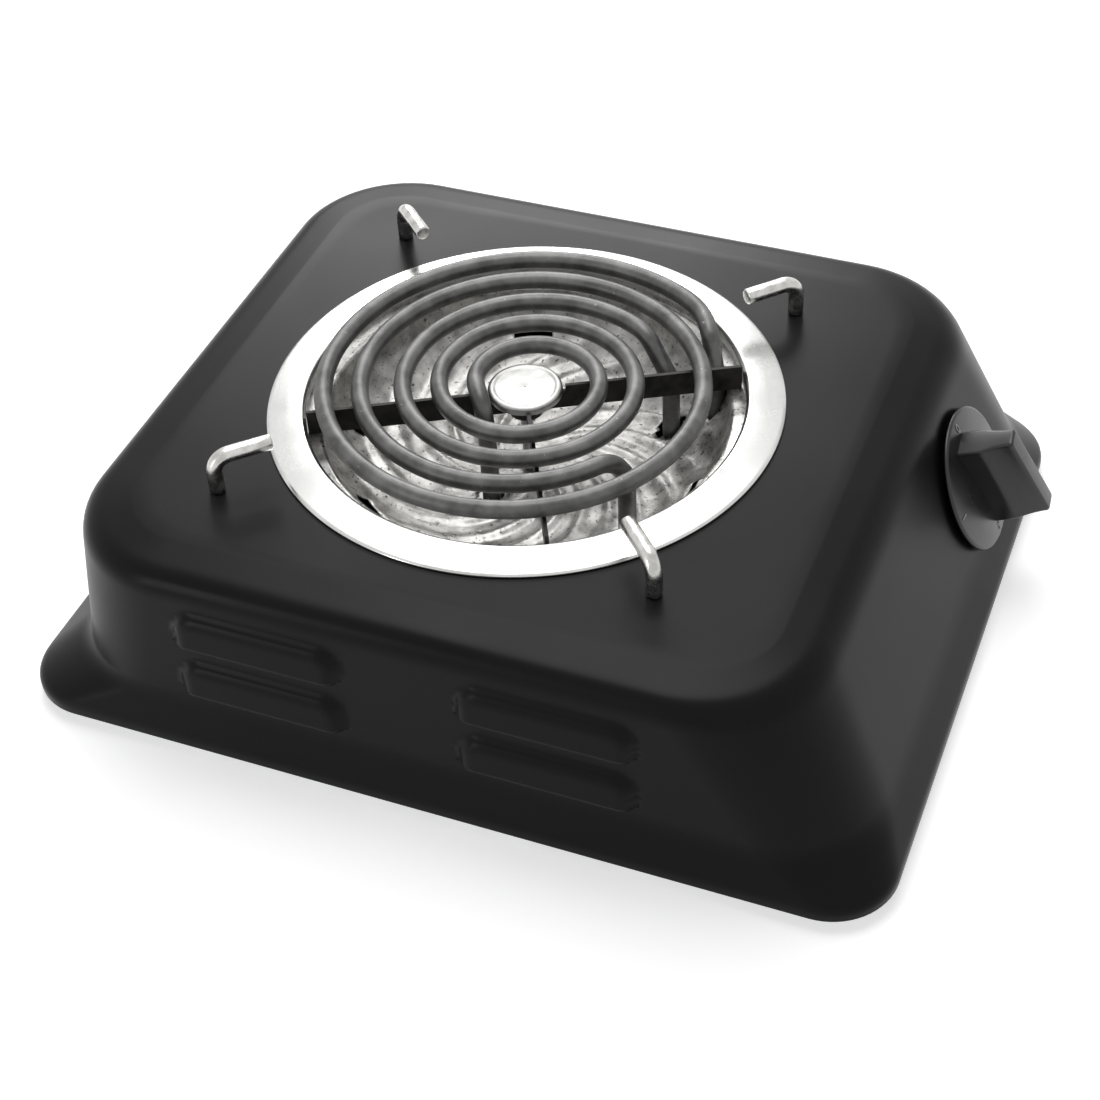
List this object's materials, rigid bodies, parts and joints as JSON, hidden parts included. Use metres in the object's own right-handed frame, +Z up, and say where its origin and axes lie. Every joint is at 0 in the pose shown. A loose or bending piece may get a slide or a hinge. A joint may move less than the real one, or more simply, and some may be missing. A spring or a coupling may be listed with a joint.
{
  "type": "electric hot plate burner",
  "caption": "Free-standing single electric hot plate with a spiral tube heater over a drip bowl, fixed pan supports, louvred steel body and a rotary heat knob.",
  "frame": {"origin": "Middle of the whole outline seen from above, at the level the rubber feet stand on.", "axes": "+Z up, -Y to the front, where the knob is, +X to the right of someone facing the knob."},
  "size_m": [0.298, 0.3762, 0.1093],
  "materials": {
    "black_enamel": "satin black powder coat",
    "zinc_plate": "bright zinc plate",
    "stainless": "satin stainless steel",
    "aluminised": "aluminised steel",
    "heater_sheath": "oxidised nickel alloy sheath",
    "pin_steel": "nickel-plated steel",
    "ceramic": "unglazed steatite",
    "dark_steel": "heat-darkened steel strip",
    "cap_steel": "satin stamped steel",
    "plated_rod": "bright nickel plate",
    "black_plastic": "moulded black phenolic",
    "switch_resin": "brown phenolic",
    "brass": "plain brass",
    "black_rubber": "moulded rubber",
    "white_nylon": "moulded nylon",
    "lead_sleeve": "glass-braided silicone insulation"
  },
  "bodies": {
    "base": {"body_shell": "black_enamel", "base_plate": "zinc_plate", "base_screws": "zinc_plate", "rubber_feet": "black_rubber", "trim_ring": "stainless", "drip_bowl": "aluminised", "inner_heater_tube": "heater_sheath", "outer_heater_tube": "heater_sheath", "inner_tube_pins": "pin_steel", "outer_tube_pins": "pin_steel", "inner_pin_bushes": "ceramic", "outer_pin_bushes": "ceramic", "spider_bracket": "dark_steel", "centre_cap": "cap_steel", "centre_stud": "zinc_plate", "centre_nut": "zinc_plate", "pan_support_front_left": "plated_rod", "pan_support_front_right": "plated_rod", "pan_support_back_left": "plated_rod", "pan_support_back_right": "plated_rod", "pan_support_nuts": "zinc_plate", "switch_body": "switch_resin", "switch_rear_cover": "switch_resin", "switch_contacts": "brass", "switch_bush_nut": "zinc_plate", "terminal_block": "ceramic", "terminal_screws": "brass", "terminal_block_screws": "zinc_plate", "earth_stud": "brass", "earth_nut": "brass", "cord_grommet": "black_rubber", "cord_clamp": "white_nylon", "cord_clamp_screws": "zinc_plate", "live_lead": "lead_sleeve", "neutral_lead": "lead_sleeve", "neutral_link": "lead_sleeve", "inner_tube_lead": "lead_sleeve", "outer_tube_lead": "lead_sleeve", "earth_lead": "lead_sleeve"},
    "control_knob": {"heat_knob": "black_plastic", "knob_grub_screw": "zinc_plate", "switch_shaft": "zinc_plate", "switch_cam": "switch_resin"}
  },
  "joints": [
    {"name": "knob_turn", "type": "hinge", "parent": "base", "child": "control_knob", "pos_m": [0.0575, -0.15386, 0.0475], "axis": [0, -0.9053, 0.4247], "range_deg": [-270, 0]}
  ]
}
